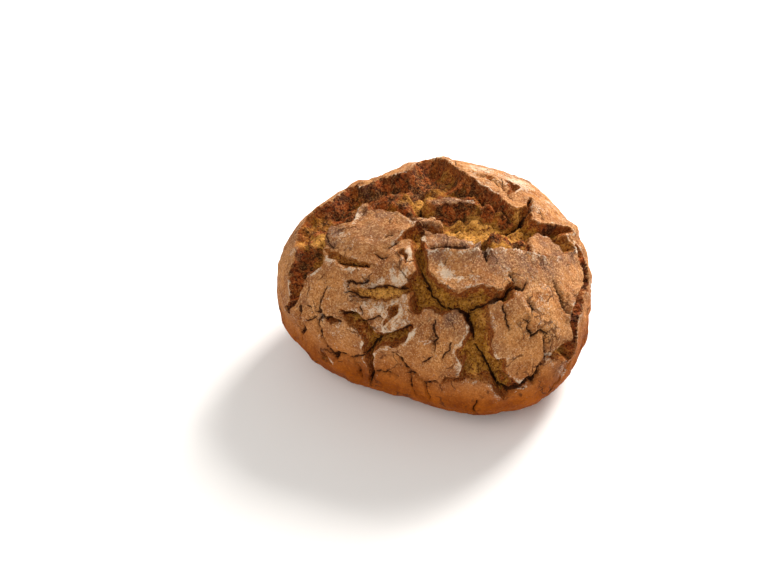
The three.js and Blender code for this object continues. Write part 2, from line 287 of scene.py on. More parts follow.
# Where a plate's edge curls up more than elsewhere: (u, v, reach, extra height).
CURLS = (
    (5, -52, 8, 1.4), (18, -51, 6, 1.2), (-18, -48, 6, 1.8), (-16, -34, 5, 1.0), (8, -68, 6, 1.2),
    (18, -68, 7, 1.2), (4, -86, 5, 1.2), (24, -95, 5, 1.2), (-30, -2, 6, 1.4), (-44, -16, 6, 1.0),
    (20, -30, 14, 0.9), (48, -26, 12, 0.9), (-30, -60, 10, 1.2), (-24, -70, 7, 1.2), (-46, -30, 5, 1.0),
    (60, -62, 8, 1.2), (60, -76, 6, 1.2), (-12, 30, 16, 0.8), (30, 8, 12, 0.8), (-50, 10, 10, 0.8),
)

# Patches on the map as (u, v, reach, amount).
FLOUR = (
    (36, 30, 14, 0.95), (18, 36, 12, 0.9), (-28, -63, 5, 0.85), (-21, -64, 4, 0.9), (-36, -60, 4, 0.9),
    (-44, -51.5, 3, 0.8), (-38, -56, 3, 0.9), (-31, -60, 3.5, 1.0), (-24, -60.5, 3.5, 1.0),
    (-19, -58, 3, 0.9),
    (-44, -43, 3, 0.7), (-37, -46, 3, 0.8), (-29, -48, 3, 0.9), (-22, -49, 3, 1.0), (2, -36, 3, 0.8),
    (9, -35.5, 3, 0.8), (18, -34.5, 3, 0.8), (24, -33.5, 3, 0.7), (31, -33.5, 3, 0.8), (38, -34, 3, 0.7),
    (45, -32.5, 3, 0.8), (53, -29, 3, 0.7), (40, -52, 16, 0.55), (50, -62, 10, 0.5), (24, -44, 9, 0.5),
    (-10, -78, 12, 0.45), (-60, -62, 12, 0.45), (52, -76, 3, 0.8), (68, -77, 4, 0.9), (2, -33, 5, 0.5),
    (10, -32.5, 4, 0.6), (-24, 27, 5, 0.6), (54, 22, 12, 0.65), (50, 8, 9, 0.6), (64, 14, 8, 0.65),
    (-48, 18, 10, 0.35), (-66, 0, 9, 0.4), (-76, -18, 9, 0.35), (-20, 34, 10, 0.4),
    (1, -46, 4.5, 1.0), (-1, -42, 3, 0.9), (6, -48.5, 3, 0.9), (12, -47, 3.5, 0.6), (8, -51, 4, 0.6),
    (18, -50, 3, 0.5), (-18, -49, 4, 1.0),
    (-23, -46.5, 3.5, 0.9), (-29, -60, 6, 0.75), (-25, -69, 5, 0.9), (-19, -68, 4, 0.9), (-33, -67, 4, 0.8),
    (-31, -56.5, 4, 0.7), (-18, -60, 3, 0.8), (-44, -64, 3, 0.8), (-48, 8, 4, 0.9), (-42, 15, 4, 0.8),
    (-28, 21, 4, 0.9), (-18, 24, 5, 0.9), (-62, -14, 3, 0.9), (-70, -33, 4, 0.7), (-39, -18, 4, 0.7),
    (-37, -24, 4, 0.6), (-33, -3, 3, 0.7), (-46, -28, 4, 0.8), (-2, -30, 4, 0.6), (14, -30.5, 4, 0.5),
    (34, -29, 5, 0.5), (50, -27, 5, 0.5), (56, -36, 3, 0.6), (63, -57, 3, 0.9), (60, -64, 3, 0.7),
    (62, -76, 6, 0.6), (3, -86, 3, 0.8), (19, -92, 4, 0.7), (24, -97, 4, 0.6), (13, 24, 6, 0.7),
    (22, 16, 5, 0.6), (30, 8, 4, 0.6), (2, 36, 5, 0.7), (38, 24, 4, 0.5), (46, -6, 4, 0.6),
    (-8, -28, 3, 0.9),
    (-20, 60, 8, 0.6), (4, 70, 7, 0.6), (50, 60, 7, 0.6), (-50, 50, 8, 0.6), (-10, 92, 7, 0.5),
    (86, 36, 8, 0.6), (-88, 36, 8, 0.5), (19, -60, 3, 0.6), (-73, -56, 2.5, 0.8), (-77, -62, 2.5, 0.8),
)
HAZE = (
    (-3, -36, 6, 0.9), (10, -38, 6, 0.6), (22, -38, 7, 1.0), (34, -37, 8, 1.0), (46, -35, 8, 0.9),
    (56, -25, 7, 0.8), (66, -18, 6, 0.9), (-42, -14, 4, 1.0), (-43, -20, 4, 0.9), (-32, -5, 4, 1.0),
    (-22, -9, 6, 0.9), (-14, -17, 4, 0.7), (2, -65, 5, 1.0), (-6, -66, 5, 0.7), (19, -66, 3, 0.7),
    (21, -74, 3, 0.7), (0, 2, 7, 0.8), (12, 2, 6, 0.8), (-6, -13, 6, 0.8), (4, -25, 8, 0.7),
    (57, -14, 5, 0.8), (-22, -42, 5, 0.4), (0, -26, 6, 1.0), (9, -27, 6, 1.0), (-4, -23, 5, 0.9),
    (4, 2, 6, 1.0), (13, 2, 5, 1.0), (14, -36, 6, 0.8), (42, -40, 8, 0.3), (6, -70, 6, 0.5),
    (-30, -20, 10, 0.6), (-22, -28, 7, 0.5), (50, -20, 7, 0.7), (58, -19, 5, 0.8), (60, -78, 6, 0.6),
    (-66, -38, 5, 0.5), (40, 50, 12, 0.4),
    (-30, 74, 10, 0.5), (14, 60, 10, 0.5),
)
TOASTED = (
    (-52, -4, 8, 0.9), (-14, 12, 10, 1.0), (0, 4, 5, 1.0), (10, 2, 5, 1.0), (50, -17, 8, 0.4),
    (57, -15, 5, 0.7), (76, -16, 12, 0.9), (31, 20, 8, 0.7), (-46, 14, 9, 1.0), (-31, 20, 10, 1.0),
    (-18, 24, 9, 1.0), (-7, 38, 8, 0.9), (-40, -31, 8, 0.3), (-45, 10, 8, 1.0), (12, 14, 8, 0.9),
    (36, 2, 5, 0.9),
    (-40, 2, 14, 1.0), (-25, 8, 13, 1.0), (-8, 25, 13, 1.0), (5, 20, 8, 0.8), (-56, -16, 10, 0.9),
    (-62, -27, 9, 0.9), (20, 8, 7, 0.9), (28, 2, 6, 1.0), (0, -4, 6, 1.0), (9, -4, 6, 0.9),
    (23, -1, 6, 1.0), (33, -5, 6, 0.9), (22, -22, 6, 1.0), (31, -24, 6, 0.9), (14, -5, 6, 1.0),
    (4, -6, 5, 1.0), (-12, 20, 9, 1.0), (54, -8, 4, 1.0),
    (46, -21, 7, 0.45), (55, -17, 7, 0.5), (38, -28, 4, 0.9), (-4, 12, 6, 0.8), (12, 8, 7, 0.6),
    (-30, 4, 9, 0.7), (55, -5, 6, 1.0), (-9, -19, 5, 0.9), (6, -56, 6, 0.4), (19, -66, 3, 0.6),
    (28, -88, 5, 0.6),
    (36, -91, 5, 0.9), (-38, -69, 5, 0.9), (-76, -34, 9, 0.8), (62, -50, 22, 0.9), (-13, -3, 8, 0.8),
    (-3, -62, 5, 0.4), (8, -88, 6, 0.5), (-20, 60, 12, 0.6), (0, 74, 12, 0.5), (40, 60, 14, 0.6),
)
GOLDEN = (
    (-49, -14, 5, 1.0), (-54, -10, 3, 0.5), (2, -18, 3.5, 1.0), (10, -20.5, 3.5, 1.0), (36, -17, 5, 1.2),
    (5, -12, 5, 0.5), (16, -9, 6, 0.7),
    (24, -13, 6, 0.8), (6, -15, 5, 0.8), (-38, -50, 5, 1.2), (-31, -53, 5, 1.2), (-23, -55, 5, 1.1),
    (-42, -30, 6, 0.5), (-38, -36, 5, 0.5), (-48, -59, 4, 0.4), (42, -17, 4.5, 1.2),
    (64, -10, 4, 0.8), (15, -6, 4, 0.8), (38, 0, 4, 0.8), (-9, 9, 5, 0.9), (13, -90, 4, 0.5),
    (-6, 4, 4, 0.8), (-60, -10, 3, 0.8), (16, -62, 3, 0.5), (-30, -53, 8, 0.5), (60, -68, 5, 0.5),
    (27, -19.5, 4, 0.9), (46, -25, 4, 0.6), (12, -19, 5, 0.8),
)


def meridian():
    """The loaf's side profile from the crown to the middle of the underside: share of the radius, and height.

    Two quarters of a superellipse meet at the waist, r = sin(t)^(2/p), z = cos(t)^(2/p), and the lower one is
    cut off level. It comes back with the way along the crust to each point, in millimetres."""
    turn = np.linspace(0, np.pi / 2, PROFILE_POINTS)
    dome_share = np.sin(turn) ** (2 / DOME_POWER)
    dome_height = WAIST_HEIGHT + (LOAF_HEIGHT - WAIST_HEIGHT) * np.cos(turn) ** (2 / DOME_POWER)
    foot_share = np.cos(turn[1:]) ** (2 / FOOT_POWER)
    foot_height = WAIST_HEIGHT - (WAIST_HEIGHT + SETTLE) * np.sin(turn[1:]) ** (2 / FOOT_POWER)
    rim = np.interp(0, -foot_height, foot_share)
    above = foot_height > 0
    share = np.concatenate([dome_share, foot_share[above], [rim, 0]])
    height = np.concatenate([dome_height, foot_height[above], [0, 0]])
    along = np.concatenate([[0], np.cumsum(np.hypot(np.diff(share) * WAIST_RADIUS[0], np.diff(height)))])
    return along, share, height


ALONG, SHARE, HEIGHT = meridian()
MAP_RADIUS = ALONG[-1]


def plain_surface(u, v):
    """Points of the smooth loaf over the map: the meridian turned round an uneven outline, whose radius is
    1 + the sum of c cos(n a) + s sin(n a), with the crown leaning over and the foot slid forward."""
    distance, turn = np.hypot(u, v), np.arctan2(v, u)
    share, height = np.interp(distance, ALONG, SHARE), np.interp(distance, ALONG, HEIGHT)
    outline = 1 + sum(c * np.cos(n * turn) + s * np.sin(n * turn) for n, c, s in OUTLINE_WAVES)
    raised, under = height / LOAF_HEIGHT, np.clip(1 - height / WAIST_HEIGHT, 0, 1)
    x = WAIST_RADIUS[0] * share * outline * np.cos(turn) + CROWN_LEAN[0] * raised
    y = WAIST_RADIUS[1] * share * outline * np.sin(turn) + CROWN_LEAN[1] * raised + FOOT_SHIFT * under
    return np.stack([x, y, height], -1)


def outward(u, v, step=0.5, least=1e-9):
    """Unit normals of the smooth loaf: the cross product of its slopes to the right and to the back."""
    right = plain_surface(u + step, v) - plain_surface(u - step, v)
    back = plain_surface(u, v + step) - plain_surface(u, v - step)
    normal = np.cross(right, back)
    return normal / np.maximum(np.linalg.norm(normal, axis=-1, keepdims=True), least)


def smooth(x):
    """0 below 0, 1 above 1 and 3x^2 - 2x^3 between."""
    x = np.clip(x, 0, 1)
    return x * x * (3 - 2 * x)


def fading(away, reach):
    """1 at nought and less to both sides: exp(-(d / reach)^2)."""
    return np.exp(-((away / reach) ** 2))


def spot(u, v, x, y, reach):
    """A round spot about (x, y) that fades as exp(-(d / reach)^2)."""
    return np.exp(-((u - x) ** 2 + (v - y) ** 2) / reach**2)


def patches(u, v, spots):
    """How much of a finish lies here: the strongest of its round spots."""
    total = np.zeros(u.shape)
    for x, y, reach, amount in spots:
        total = np.maximum(total, amount * spot(u, v, x, y, reach))
    return total


def lumps(points, size, seed):
    """Smooth random values from -1 to 1, about one lump to each size in millimetres: random numbers on a
    cubic lattice, blended between its corners."""
    table = np.random.default_rng(seed).uniform(-1, 1, (LATTICE, LATTICE, LATTICE))
    place = points / size + LATTICE_START
    cell = np.floor(place).astype(int)
    share = smooth(place - cell)
    total = 0
    for corner in np.ndindex(2, 2, 2):
        weight = np.prod(np.where(corner, share, 1 - share), axis=-1)
        i, j, k = np.moveaxis((cell + corner) % LATTICE, -1, 0)
        total = total + weight * table[i, j, k]
    return total


def rough(points, size, seed, octaves=3):
    """Lumps on lumps: each octave is half as long and half as high as the last."""
    return sum(lumps(points, size / 2**i, seed + i) / 2**i for i in range(octaves))


def clumps(points, size, seed, rise, crease):
    """Rounded clumps with sharp creases between them: rise - crease |lumps|."""
    return rise - crease * np.abs(lumps(points, size, seed))


def line_distance(u, v, line):
    """The way to the nearest point of a line, the side of the line that a point is on (1 or -1), and how far
    along the line that nearest point is, from 0 to 1."""
    line = np.asarray(line, float)
    lengths = np.hypot(*np.diff(line, axis=0).T)
    before = np.concatenate([[0], np.cumsum(lengths)])
    best, side, along = np.full(u.shape, np.inf), np.ones(u.shape), np.zeros(u.shape)
    for (x0, y0), (x1, y1), start, length in zip(line, line[1:], before, lengths):
        dx, dy = x1 - x0, y1 - y0
        t = np.clip(((u - x0) * dx + (v - y0) * dy) / length**2, 0, 1)
        away_x, away_y = u - x0 - t * dx, v - y0 - t * dy
        away = np.hypot(away_x, away_y)
        near = away < best
        best = np.where(near, away, best)
        side = np.where(near, np.sign(dx * away_y - dy * away_x), side)
        along = np.where(near, (start + t * length) / before[-1], along)
    return best, side, along


def tapered(along, power):
    """Nought at both ends of a line and 1 at its middle: (4 t (1 - t))^power."""
    return np.clip(4 * along * (1 - along), 0, 1) ** power


def inside(u, v, outline):
    """Millimetres inside a closed outline, or outside it if negative. A point is inside if a ray to its right
    crosses the outline an odd number of times."""
    closed = list(outline) + [outline[0]]
    away, _, _ = line_distance(u, v, closed)
    odd = np.zeros(u.shape, bool)
    for (x0, y0), (x1, y1) in zip(closed, closed[1:]):
        if y0 != y1:
            odd ^= ((y0 > v) != (y1 > v)) & (u < x0 + (v - y0) * (x1 - x0) / (y1 - y0))
    return np.where(odd, away, -away)


def cracks_at(u, v, blunt=0.3, clear=2.0, fade=1.5):
    """The signed way to the nearest crack, the crack's half width there, and the depth of its groove. The
    half width tapers to blunt ends, and fades to nought away from the crack."""
    nearest, signed = np.full(u.shape, np.inf), np.full(u.shape, OUT_OF_REACH)
    half, groove = np.zeros(u.shape), np.zeros(u.shape)
    for width, depth, line in CRACKS:
        away, side, along = line_distance(u, v, line)
        taper = tapered(along, blunt)
        slope = smooth(away / (width / 2 + GROOVE_SLOPE))
        groove = np.maximum(groove, depth * taper * (1 - slope))
        near = away < nearest
        nearest = np.where(near, away, nearest)
        signed = np.where(near, away * side, signed)
        half = np.where(near, DARK_SHARE * width * taper * (1 - smooth((away - clear) / fade)), half)
    return np.clip(signed, -OUT_OF_REACH, OUT_OF_REACH), half, groove


def tears_at(u, v, wander=0.0, outside=-30.0):
    """Millimetres inside the nearest tear, and the depth there: EDGE_SHARE of it down a wall under the
    crust's edge, and the rest in a valley that deepens as 1 - exp(-w / VALLEY). The way inside, w, has the
    wander added to it once it is past the edge."""
    torn, depth = np.full(u.shape, outside), np.zeros(u.shape)
    for deep, wall, outline in TEARS.values():
        within = inside(u, v, outline)
        torn = np.maximum(torn, within)
        crumbly = np.maximum(within + wander * smooth(within / wall), 0)
        edge, valley = smooth(crumbly / wall), 1 - np.exp(-crumbly / VALLEY)
        depth = np.maximum(depth, deep * (EDGE_SHARE * edge + (1 - EDGE_SHARE) * valley))
    return torn, depth


def ragged(u, v, points):
    """Map points shifted by lumps of several sizes, so that an outline drawn on the map turns out ragged."""
    broad, fine = 1.1, 0.7
    broad_size, fine_size = 5.0, 1.8
    right = broad * rough(points, broad_size, seed=11) + fine * lumps(points, fine_size, seed=17)
    back = broad * rough(points, broad_size, seed=21) + fine * lumps(points, fine_size, seed=27)
    return u + right, v + back


def drawn_to_edges(u, v, step=0.3):
    """Map points moved towards the nearest tear's edge, by d * EDGE_PULL * exp(-(d / PULL_REACH)^2) along the
    slope of the distance d, so that the mesh is finest where the crust breaks off."""
    away = [tears_at(*ragged(u + du, v + dv, plain_surface(u + du, v + dv)))[0]
            for du, dv in ((0, 0), (step, 0), (0, step))]
    slope = np.stack([(away[1] - away[0]) / step, (away[2] - away[0]) / step])
    slope /= np.maximum(np.linalg.norm(slope, axis=0), 1.0)
    shift = away[0] * EDGE_PULL * fading(away[0], PULL_REACH)
    return u - shift * slope[0], v - shift * slope[1]


def torn_clumps(points, toasted):
    """How far the torn bread lies below its tear's floor: clumps of three sizes, flattened into layers, and
    ledges where it is toasted, which is also torn more deeply."""
    layered, ledged = points * np.array([1, 1, 1.8]), points * np.array([0.5, 0.8, 1.5])
    hills = 0.6 * lumps(layered, 11.0, seed=53)
    large = clumps(layered, 6.5, seed=51, rise=0.6, crease=2.6) + hills
    small = 1.1 * clumps(layered, 3.0, seed=61, rise=0.4, crease=1.5)
    tiny = 0.5 * clumps(points, 1.6, seed=65, rise=0.35, crease=1.2)
    ledges = 1.2 * toasted * clumps(ledged, 5.0, seed=67, rise=0.6, crease=2.2)
    return (0.8 + 1.2 * toasted) * large + ledges + small + tiny


def layers(u, v, steepness=0.8, sunk=0.4, edge_width=1.3):
    """How far overlapping layers lift the crust, a smooth step across each line that dies away from it as
    exp(-d / reach), and how near a point is to the upper layer's edge, from 0 to 1. The lower layer is sunk
    by a share of the step."""
    lifted, edge = np.zeros(u.shape), np.zeros(u.shape)
    for rise, reach, line in OVERLAPS:
        away, side, along = line_distance(u, v, line)
        ends = tapered(along, 0.5)
        step = smooth(0.5 + steepness * away * side)
        lifted = lifted + rise * ends * np.exp(-away / reach) * (step - sunk)
        edge = np.maximum(edge, ends * step * fading(away, edge_width))
    return lifted, edge


def plates(u, v, points):
    """The height of unbroken crust over the smooth loaf, broadly uneven, with bulges and overlapping layers,
    and how near a point is to an upper layer's edge."""
    height = rough(points, 22.0, seed=31, octaves=2) + 0.65 * rough(points, 6.0, seed=41)
    for x, y, reach, rise in BULGES:
        height = height + rise * spot(u, v, x, y, reach)
    lifted, layer_edge = layers(u, v)
    return height + lifted, layer_edge


def torn_floor(u, v, points):
    """Millimetres inside the nearest tear, the same where a flake's crust doesn't cover it, and the depth of
    the tear's floor, which each flake draws to its own height as it closes in over its wall."""
    wander = 0.9 * lumps(points, 5.0, seed=73) + 0.7 * lumps(points, 2.1, seed=75)
    uneven = 0.8 * lumps(points, 2.4, seed=77)
    opening, depth = tears_at(u, v, wander)
    torn = opening
    for height, wall, torn_share, outline in FLAKES.values():
        within = inside(u, v, outline) + uneven
        share = smooth(within / wall + 0.5)
        depth = depth * (1 - share) - height * share
        if torn_share < 1:
            torn = np.where(torn > 0, np.minimum(torn, -within + torn_share * wall), torn)
    return opening, torn, depth


def relief(u, v, points):
    """The crust's height over the smooth loaf and the finishes that follow it, all over the map.

    Plates bulge a little and curl up along a tear's edge; a tear drops over its wall to a lumpy valley;
    flakes lie part of the way down; cracks cut a tapered groove. Flour and haze gather on the crust just
    outside a tear, and less so low down on the loaf."""
    u, v = ragged(u, v, points)
    crust, layer_edge = plates(u, v, points)
    opening, torn, depth = torn_floor(u, v, points)

    golden = patches(u, v, GOLDEN)
    pit = smooth((depth - PIT_DEPTH) / PIT_FADE + 0.35 * lumps(points, 5.0, seed=79))
    toasted = patches(u, v, TOASTED) * (1 - 0.2 * pit) * (1 - 0.75 * golden)
    crumb = smooth((torn + EDGE_BLUR) / CRUMB_FADE)
    depth = depth + crumb * torn_clumps(points, toasted)

    curl = 0.7 + patches(u, v, CURLS) + 0.5 * lumps(points, 7.0, seed=71)
    lip = curl * np.exp(np.minimum(opening, 0) / LIP_REACH) * (1 - smooth((opening + EDGE_BLUR) / LIP_FADE))
    signed, half, groove = cracks_at(u, v)
    height = crust * (1 - crumb / 2) + lip - depth - groove

    low = smooth((LOW_CRUST - points[..., 2]) / LOW_FADE)
    dusting = 0.52 - 0.3 * low + 0.9 * lumps(points, 5.0, seed=81)
    dusted = dusting * fading(torn + 0.6, 0.9)
    hazed = 0.3 * (1 - low) * fading(torn + 2.2, 2.4)
    finishes = {
        "torn_mm": torn,
        "crack_mm": signed,
        "crack_half_mm": half,
        # How far a point lies down a crack's groove in the crumb or past DEEP: it sets the painted shade.
        "sunk_mm": groove * crumb + np.maximum(depth - DEEP, 0),
        "flour": np.maximum.reduce([patches(u, v, FLOUR), dusted, 0.62 * layer_edge, 0.33 * (1 - low)]),
        "haze": np.maximum(patches(u, v, HAZE), hazed),
        "toasted": toasted,
        "golden": golden,
    }
    return height, finishes


def quads(a, b, c, d):
    """Two triangles for each four corners a, b, c, d in turn."""
    a, b, c, d = (corner.ravel() for corner in (a, b, c, d))
    return np.vstack([np.stack([a, b, c], -1), np.stack([a, c, d], -1)])


def crust_map():
    """Map points and triangles that cover the loaf: a square grid squeezed onto a disc, so that its squares
    become rings, then rings under the foot that close on one point in the middle of the underside."""
    side = np.linspace(-1, 1, GRID)
    a, b = np.meshgrid(side, side, indexing="ij")
    wide = np.abs(a) >= np.abs(b)
    radius = np.where(wide, a, b)
    eighth = np.pi / 4
    wide_turn, tall_turn = eighth * b / np.where(a == 0, 1, a), eighth * a / np.where(b == 0, 1, b)
    turn = np.where(wide, wide_turn, np.pi / 2 - tall_turn)
    disc = GRID_RADIUS * np.stack([radius * np.cos(turn), radius * np.sin(turn)], -1).reshape(-1, 2)
    index = np.arange(GRID * GRID).reshape(GRID, GRID)
    grid_faces = quads(index[:-1, :-1], index[1:, :-1], index[1:, 1:], index[:-1, 1:])

    edge = np.concatenate([index[:-1, 0], index[-1, :-1], index[:0:-1, -1], index[0, :0:-1]])
    spread = np.linspace(GRID_RADIUS, MAP_RADIUS, UNDERSIDE_RINGS + 1)[1:-1] / GRID_RADIUS
    rings = (spread[:, None, None] * disc[edge]).reshape(-1, 2)
    loops = np.vstack([edge, len(disc) + np.arange(len(rings)).reshape(-1, len(edge))])
    after = np.roll(loops, -1, axis=1)
    ring_faces = quads(loops[:-1], loops[1:], after[1:], after[:-1])
    middle = len(disc) + len(rings)
    fan = np.stack([loops[-1], np.full(len(edge), middle), after[-1]], -1)
    points = np.vstack([disc, rings, [[MAP_RADIUS, 0]]])
    return points, np.vstack([grid_faces, ring_faces, fan])


def mesh_object(name, points, triangles, finishes, material):
    """One smooth-shaded mesh from whole arrays, with each finish as a value on its points."""
    mesh = bpy.data.meshes.new(name)
    mesh.vertices.add(len(points))
    mesh.vertices.foreach_set("co", points.astype(np.float32).ravel())
    mesh.loops.add(triangles.size)
    mesh.loops.foreach_set("vertex_index", triangles.astype(np.int32).ravel())
    mesh.polygons.add(len(triangles))
    mesh.polygons.foreach_set("loop_start", np.arange(0, triangles.size, 3, dtype=np.int32))
    mesh.update(calc_edges=True)
    mesh.polygons.foreach_set("use_smooth", np.ones(len(triangles), bool))
    for label, values in finishes.items():
        layer = mesh.attributes.new(label, "FLOAT", "POINT")
        layer.data.foreach_set("value", values.astype(np.float32))
    mesh.materials.append(material)
    piece = bpy.data.objects.new(name, mesh)
    bpy.context.collection.objects.link(piece)
    return piece


def loaf(material):
    """The whole loaf: the smooth surface pushed out along its normals by the relief, which fades out towards
    the foot, then set down where the CAD solid stands."""
    points_on_map, triangles = crust_map()
    u, v = drawn_to_edges(*points_on_map.T)
    surface = plain_surface(u, v)
    height, finishes = relief(u, v, surface)
    fade = smooth(surface[:, 2] / (FOOT_FADE * WAIST_HEIGHT))
    points = surface + (fade * height)[:, None] * outward(u, v)
    points[:, 2] = np.maximum(points[:, 2], 0)
    low, high = (np.array(corner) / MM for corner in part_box("loaf"))
    middle = (points.min(0) + points.max(0)) / 2
    points[:, :2] += ((low + high) / 2 - middle)[:2]
    return mesh_object("loaf_crust", points * MM, triangles, finishes, material)


# ---------------------------------------------------------------- finishes
def tint(red, green, blue):
    """A colour as it is seen on a screen, 0 to 255, as the linear values that a shader takes."""
    seen = (red / 255, green / 255, blue / 255)
    linear = [(c / 12.92) if c < 0.04 else ((c + 0.055) / 1.055) ** 2.4 for c in seen]
    return (*linear, 1)


TAN, NUT_BROWN = tint(196, 133, 76), tint(156, 94, 46)  # crust on top
AMBER, CHESTNUT = tint(162, 82, 8), tint(128, 58, 3)  # crust down the side
SMOKY = tint(112, 82, 68)
BRAN = tint(112, 60, 28)
PALE_MEAL, ORANGE_MEAL = tint(228, 178, 124), tint(196, 112, 32)  # specks on top and down the side
FLOURY = tint(228, 208, 182)
HAIRLINE_BROWN = tint(84, 44, 20)
OLIVE, STRAW, BUTTER = tint(156, 98, 24), tint(200, 136, 46), tint(244, 176, 84)  # crumb
RIND_BROWN = tint(164, 80, 28)
DARK_TOAST, RUST, CHAR = tint(60, 22, 8), tint(178, 84, 34), tint(58, 24, 10)
# Painted shade in the crumb's hollows.
HOLLOW_SHADE_BROWN = tint(126, 80, 50)
# A painted highlight on the crumb's raised bits.
GLINT = tint(236, 168, 96)
CRUMB_BRAN, CRUMB_MEAL = tint(76, 34, 12), tint(240, 178, 110)
# Painted shadow just under the crust's overhanging edge.
UNDERCUT_SHADOW_BROWN = tint(78, 36, 16)
# Dark cracks, some of them painted shadow lines, and painted shade deep in the tears.
CRACK_AND_SHADOW_BROWN, DEEP_SHADE_BROWN = tint(50, 23, 9), tint(36, 16, 6)


class Tree:
    """Short words for building one node tree. Each returns the output that the next node takes."""

    def __init__(self, tree):
        self.tree = tree

    def add(self, kind, out=0, inputs=(), **settings):
        """A node with those settings, and its inputs by number or name."""
        node = self.tree.nodes.new(kind)
        for key, value in settings.items():
            setattr(node, key, value)
        for key, value in dict(inputs).items():
            self.feed(node.inputs[key], value)
        return node.outputs[out]

    def feed(self, socket, value):
        """Another node's output linked to a socket, or a value of the socket's own."""
        if isinstance(value, bpy.types.NodeSocket):
            self.tree.links.new(value, socket)
        else:
            socket.default_value = value

    def maths(self, operation, *values):
        return self.add("ShaderNodeMath", inputs=enumerate(values), operation=operation)

    def plus(self, a, b):
        return self.maths("ADD", a, b)

    def minus(self, a, b):
        return self.maths("SUBTRACT", a, b)

    def times(self, a, b):
        return self.maths("MULTIPLY", a, b)

    def scaled(self, value, by, base):
        """base + by * value."""
        return self.maths("MULTIPLY_ADD", value, by, base)

    def ramp(self, value, low, high):
        """0 at low and 1 at high, with a smooth step between."""
        inputs = {"Value": value, "From Min": low, "From Max": high}
        return self.add("ShaderNodeMapRange", inputs=inputs, interpolation_type="SMOOTHSTEP", clamp=True)

    def noise(self, place, size, detail=2.0, roughness=0.5, out=0):
        inputs = {"Vector": place, "Scale": 1 / size, "Detail": detail, "Roughness": roughness}
        return self.add("ShaderNodeTexNoise", out=out, inputs=inputs)

    def cells(self, place, size, feature="F1", out=0):
        inputs = {"Vector": place, "Scale": 1 / size}
        return self.add("ShaderNodeTexVoronoi", out=out, inputs=inputs, feature=feature)

    def blend(self, share, a, b, mode="MIX"):
        """Colour a where the share is 0, and colour b where it is 1."""
        factor, first, second = 0, 6, 7
        inputs = {factor: share, first: a, second: b}
        return self.add("ShaderNodeMix", out=2, inputs=inputs, data_type="RGBA", blend_type=mode)

    def over(self, base, colour, mask, share):
        """A colour laid over another where a mask is, by up to that share."""
        return self.blend(self.times(mask, share), base, colour)

    def value(self, label):
        """One of the finishes that the mesh carries."""
        return self.add("ShaderNodeAttribute", out="Fac", attribute_name=label)

    def grouped(self, tree, **inputs):
        """A group's outputs, placed in this tree. An underscore stands for a space in an input's name."""
        node = self.tree.nodes.new("ShaderNodeGroup")
        node.node_tree = tree
        for label, value in inputs.items():
            self.feed(node.inputs[label.replace("_", " ")], value)
        return node.outputs


VECTOR, FLOAT = "NodeSocketVector", "NodeSocketFloat"


def group(name, inputs, outputs):
    """A new node group with those sockets: its Tree, its inputs by name and a function that ends it."""
    tree = bpy.data.node_groups.new(name, "ShaderNodeTree")
    for label, kind in inputs.items():
        tree.interface.new_socket(label, in_out="INPUT", socket_type=kind)
    for label in outputs:
        tree.interface.new_socket(label, in_out="OUTPUT", socket_type=FLOAT)
    start, end = tree.nodes.new("NodeGroupInput"), tree.nodes.new("NodeGroupOutput")
    build = Tree(tree)

    def finish(**results):
        for label, value in results.items():
            build.feed(end.inputs[label], value)
        return tree

    return build, start.outputs, finish


def torn_edge():
    """Where crust ends and crumb starts: the way inside the tear, frayed by fine noise, as a crisp mask."""
    build, start, finish = group("Torn edge", {"Place": VECTOR, "Inside": FLOAT}, ("Mask",))
    fray = build.scaled(build.noise(start["Place"], size=1.6, detail=4, roughness=0.65), by=3.0, base=-1.5)
    return finish(Mask=build.ramp(build.plus(start["Inside"], fray), low=-0.15, high=0.25))


def hairline():
    """A crack as a ragged line: full where the noisy way to its middle is under its uneven half width."""
    sockets = {"Place": VECTOR, "Away": FLOAT, "Half width": FLOAT}
    build, start, finish = group("Hairline crack", sockets, ("Mask",))
    wander = build.scaled(build.noise(start["Place"], size=1.8, detail=4, roughness=0.7), by=1.8, base=-0.9)
    away = build.maths("ABSOLUTE", build.plus(start["Away"], wander))
    uneven = build.scaled(build.noise(start["Place"], size=1.3, detail=3), by=1.9, base=0.05)
    half = build.times(start["Half width"], uneven)
    return finish(Mask=build.ramp(build.minus(half, away), low=-0.12, high=0.2))


def flour_dust():
    """Flour that lies in specks: fine grains where the amount is small, closing up where it is large."""
    build, start, finish = group("Flour dust", {"Place": VECTOR, "Amount": FLOAT}, ("Mask",))
    specks = build.noise(start["Place"], size=0.8, detail=3, roughness=0.8)
    drifts = build.noise(start["Place"], size=3.4, detail=4, roughness=0.7)
    cover = build.scaled(drifts, by=0.7, base=specks)
    needed = build.scaled(start["Amount"], by=-0.47, base=1.2)
    return finish(Mask=build.ramp(build.minus(cover, needed), low=-0.1, high=0.12))


def meal_grain():
    """Coarse maize meal baked into a crust: light and dark specks, and the grain's own height."""
    build, start, finish = group("Meal grain", {"Place": VECTOR}, ("Height", "Light", "Dark"))
    grains = build.cells(start["Place"], size=0.52, out="Color")
    coarse = build.noise(start["Place"], size=1.3, detail=4, roughness=0.75)
    mixed = build.scaled(grains, by=0.45, base=build.times(coarse, 0.55))
    height = build.scaled(mixed, by=1.3, base=coarse)
    light = build.ramp(mixed, low=0.53, high=0.66)
    dark = build.ramp(mixed, low=0.47, high=0.33)
    return finish(Height=height, Light=light, Dark=dark)


